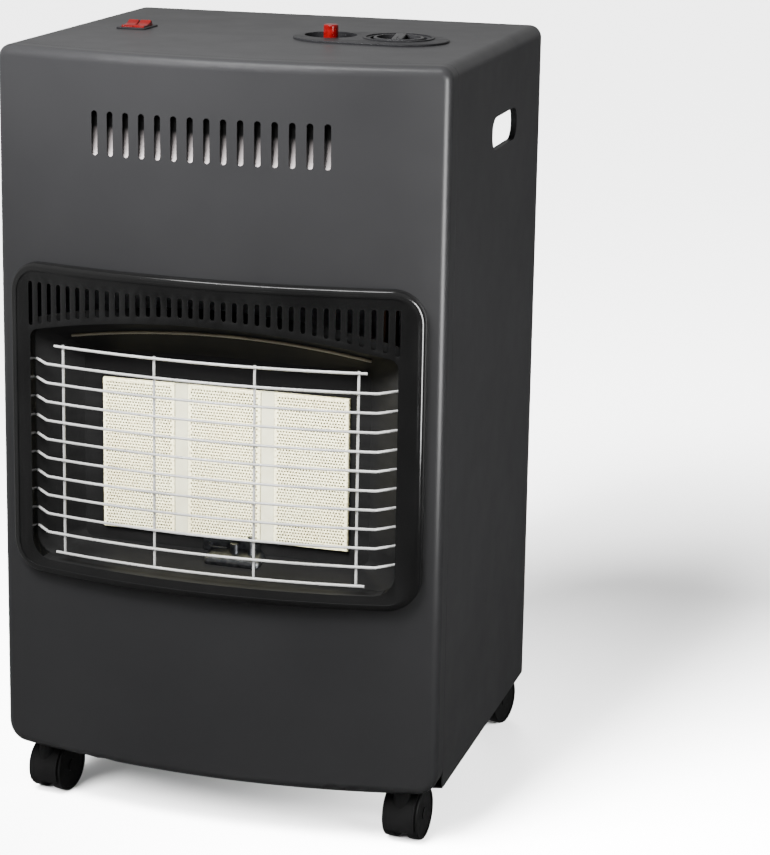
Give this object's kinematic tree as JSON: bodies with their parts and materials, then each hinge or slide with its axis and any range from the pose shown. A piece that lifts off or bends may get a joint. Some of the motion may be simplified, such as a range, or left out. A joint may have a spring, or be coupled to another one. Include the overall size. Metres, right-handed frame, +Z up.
{
  "type": "portable gas cabinet heater",
  "caption": "Upright cabinet heater on twin-wheel castors, with a radiant gas burner behind a wire guard, top controls, a fan heater and a bay for a gas cylinder.",
  "frame": {"origin": "middle of the bounding box, on the floor that the castors stand on", "axes": "+Z up, the burner faces -Y, +X to the right seen from the front"},
  "size_m": [0.432, 0.4282, 0.747],
  "materials": {
    "cabinet_paint": "satin powder coat",
    "black_enamel": "gloss black enamel",
    "plated_steel": "plain galvanised sheet",
    "burner_ceramic": "matte pierced ceramic",
    "joint_ceramic": "matte plain ceramic",
    "guard_chrome": "bright chrome wire",
    "burner_steel": "aluminised steel",
    "brass": "turned",
    "copper_pipe": "drawn tube",
    "cast_body": "die cast",
    "bright_steel": "ground",
    "spring_steel": "drawn wire",
    "white_insulator": "glazed",
    "lead_sleeve": "matte sleeve",
    "control_plastic": "fine matte",
    "knob_plastic": "fine matte",
    "red_button": "gloss",
    "red_rocker": "gloss, translucent",
    "pale_plastic": "matte",
    "fin_aluminium": "bright fins",
    "motor_iron": "laminated",
    "castor_plastic": "satin black"
  },
  "bodies": {
    "cabinet": {"cabinet_wrap": "cabinet_paint", "front_panel": "cabinet_paint", "base_tray": "plated_steel", "screws": "bright_steel", "heat_shield": "plated_steel", "cover_cradles": "plated_steel", "burner_surround": "black_enamel", "heat_box": "black_enamel", "wire_guard": "guard_chrome", "joint_strips": "joint_ceramic", "injector_rail": "plated_steel", "injectors": "brass", "gas_pipes": "copper_pipe", "pilot_burner": "bright_steel", "spark_electrode": "white_insulator", "thermocouple": "copper_pipe", "ignition_lead": "lead_sleeve", "control_plate": "control_plastic", "gas_valve": "cast_body", "knob_spring": "spring_steel", "piezo_igniter": "pale_plastic", "piezo_spring": "spring_steel", "inlet_nozzle": "brass", "switch_housing": "control_plastic", "cable_gland": "control_plastic", "fan_duct": "plated_steel", "fan_motor": "motor_iron", "heating_element": "fin_aluminium", "terminal_block": "pale_plastic", "castor_sockets": "bright_steel", "plaque_left": "burner_ceramic", "burner_housing_left": "burner_steel", "plaque_centre": "burner_ceramic", "burner_housing_centre": "burner_steel", "plaque_right": "burner_ceramic", "burner_housing_right": "burner_steel"},
    "rear_cover": {"rear_cover": "cabinet_paint"},
    "knob_push": {"thrust_washer": "bright_steel"},
    "knob": {"valve_spindle": "bright_steel", "control_knob": "knob_plastic"},
    "button": {"piezo_button": "red_button"},
    "rocker_left": {"rocker_left": "red_rocker"},
    "rocker_right": {"rocker_right": "red_rocker"},
    "fan": {"fan_drum": "cast_body"},
    "castor_front_left": {"castor_hood_front_left": "castor_plastic", "castor_pins_front_left": "bright_steel"},
    "wheel_front_left_left": {"castor_wheel_front_left_left": "castor_plastic"},
    "wheel_front_left_right": {"castor_wheel_front_left_right": "castor_plastic"},
    "castor_front_right": {"castor_hood_front_right": "castor_plastic", "castor_pins_front_right": "bright_steel"},
    "wheel_front_right_left": {"castor_wheel_front_right_left": "castor_plastic"},
    "wheel_front_right_right": {"castor_wheel_front_right_right": "castor_plastic"},
    "castor_rear_left": {"castor_hood_rear_left": "castor_plastic", "castor_pins_rear_left": "bright_steel"},
    "wheel_rear_left_left": {"castor_wheel_rear_left_left": "castor_plastic"},
    "wheel_rear_left_right": {"castor_wheel_rear_left_right": "castor_plastic"},
    "castor_rear_right": {"castor_hood_rear_right": "castor_plastic", "castor_pins_rear_right": "bright_steel"},
    "wheel_rear_right_left": {"castor_wheel_rear_right_left": "castor_plastic"},
    "wheel_rear_right_right": {"castor_wheel_rear_right_right": "castor_plastic"}
  },
  "joints": [
    {"name": "rear_cover_tilt", "type": "hinge", "parent": "cabinet", "child": "rear_cover", "pos_m": [0, 0.2089, 0.0625], "axis": [-1, 0, 0], "range_deg": [0, 75]},
    {"name": "knob_push_in", "type": "slide", "parent": "cabinet", "child": "knob_push", "axis": [0, 0, -1], "range_m": [0, 0.004], "stiffness_N_per_m": 800, "springref_m": -0.003, "deforming": ["knob_spring"]},
    {"name": "knob_turn", "type": "hinge", "parent": "knob_push", "child": "knob", "pos_m": [0.118, 0.0031, 0.722], "axis": [0, 0, 1], "range_deg": [0, 240]},
    {"name": "button_press", "type": "slide", "parent": "cabinet", "child": "button", "axis": [0, 0, -1], "range_m": [0, 0.006], "stiffness_N_per_m": 600, "springref_m": -0.003, "deforming": ["piezo_spring"]},
    {"name": "rocker_left_tip", "type": "hinge", "parent": "cabinet", "child": "rocker_left", "pos_m": [-0.146, 0.0021, 0.733], "axis": [-1, 0, 0], "range_deg": [0, 20]},
    {"name": "rocker_right_tip", "type": "hinge", "parent": "cabinet", "child": "rocker_right", "pos_m": [-0.146, 0.0021, 0.733], "axis": [-1, 0, 0], "range_deg": [0, 20]},
    {"name": "fan_spin", "type": "hinge", "parent": "cabinet", "child": "fan", "pos_m": [0, -0.1279, 0.665], "axis": [1, 0, 0], "continuous": true},
    {"name": "castor_front_left_swivel", "type": "hinge", "parent": "cabinet", "child": "castor_front_left", "pos_m": [-0.18, -0.1569, 0.057], "axis": [0, 0, 1], "continuous": true},
    {"name": "wheel_front_left_left_roll", "type": "hinge", "parent": "castor_front_left", "child": "wheel_front_left_left", "pos_m": [-0.17763, -0.14006, 0.025], "axis": [0.9903, -0.1392, 0], "continuous": true},
    {"name": "wheel_front_left_right_roll", "type": "hinge", "parent": "castor_front_left", "child": "wheel_front_left_right", "pos_m": [-0.17763, -0.14006, 0.025], "axis": [0.9903, -0.1392, 0], "continuous": true},
    {"name": "castor_front_right_swivel", "type": "hinge", "parent": "cabinet", "child": "castor_front_right", "pos_m": [0.18, -0.1569, 0.057], "axis": [0, 0, 1], "continuous": true},
    {"name": "wheel_front_right_left_roll", "type": "hinge", "parent": "castor_front_right", "child": "wheel_front_right_left", "pos_m": [0.18089, -0.13992, 0.025], "axis": [0.9986, -0.0523, 0], "continuous": true},
    {"name": "wheel_front_right_right_roll", "type": "hinge", "parent": "castor_front_right", "child": "wheel_front_right_right", "pos_m": [0.18089, -0.13992, 0.025], "axis": [0.9986, -0.0523, 0], "continuous": true},
    {"name": "castor_rear_left_swivel", "type": "hinge", "parent": "cabinet", "child": "castor_rear_left", "pos_m": [-0.18, 0.1551, 0.057], "axis": [0, 0, 1], "continuous": true},
    {"name": "wheel_rear_left_left_roll", "type": "hinge", "parent": "castor_rear_left", "child": "wheel_rear_left_left", "pos_m": [-0.17852, 0.17203, 0.025], "axis": [0.9962, -0.0872, 0], "continuous": true},
    {"name": "wheel_rear_left_right_roll", "type": "hinge", "parent": "castor_rear_left", "child": "wheel_rear_left_right", "pos_m": [-0.17852, 0.17203, 0.025], "axis": [0.9962, -0.0872, 0], "continuous": true},
    {"name": "castor_rear_right_swivel", "type": "hinge", "parent": "cabinet", "child": "castor_rear_right", "pos_m": [0.18, 0.1551, 0.057], "axis": [0, 0, 1], "continuous": true},
    {"name": "wheel_rear_right_left_roll", "type": "hinge", "parent": "castor_rear_right", "child": "wheel_rear_right_left", "pos_m": [0.18353, 0.17173, 0.025], "axis": [0.9781, -0.2079, 0], "continuous": true},
    {"name": "wheel_rear_right_right_roll", "type": "hinge", "parent": "castor_rear_right", "child": "wheel_rear_right_right", "pos_m": [0.18353, 0.17173, 0.025], "axis": [0.9781, -0.2079, 0], "continuous": true}
  ]
}
